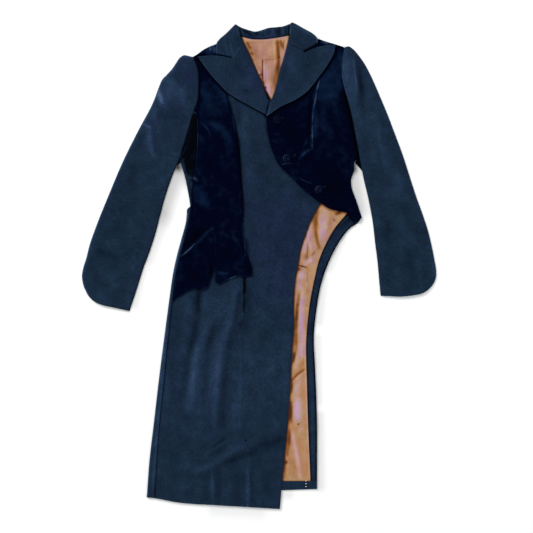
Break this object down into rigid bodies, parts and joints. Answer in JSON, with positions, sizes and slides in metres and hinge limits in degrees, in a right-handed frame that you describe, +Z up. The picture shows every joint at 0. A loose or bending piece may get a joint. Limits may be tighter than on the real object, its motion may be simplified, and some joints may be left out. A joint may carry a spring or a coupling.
{
  "type": "asymmetric coat-jacket",
  "caption": "Long asymmetric coat-jacket laid flat: wide peaked lapels, velvet fronts, a pointed side peplum, a cut-away right front and a long back tail that shows its satin lining.",
  "frame": {"origin": "on the surface that the coat lies on, under the middle of its bounding box", "axes": "the coat lies on its back: +X to the viewer's right, +Y towards the collar, +Z up from the surface through the front"},
  "size_m": [0.8862, 1.218, 0.0136],
  "materials": {
    "wool": "dark navy wool with a soft matt surface",
    "velvet": "midnight blue velvet with a short nap",
    "lining": "copper satin lining with a pink sheen"
  },
  "bodies": {
    "root": {"back": "wool", "button_1": "velvet", "button_2": "velvet", "button_3": "velvet", "collar_fall": "wool", "collar_leaf_left": "wool", "collar_leaf_right": "wool", "collar_stand": "wool", "front_centre": "wool", "front_side_skirt": "wool", "lapel_left": "wool", "lapel_right": "wool", "lining_neck": "lining", "lining_tail": "lining", "side_panel_left": "wool", "sleeve_under_left": "wool", "sleeve_under_right": "wool", "sleeve_upper_left": "wool", "sleeve_upper_right": "wool", "tail_facing": "wool", "tail_hem": "wool", "velvet_left": "velvet", "velvet_right": "velvet"}
  },
  "joints": []
}
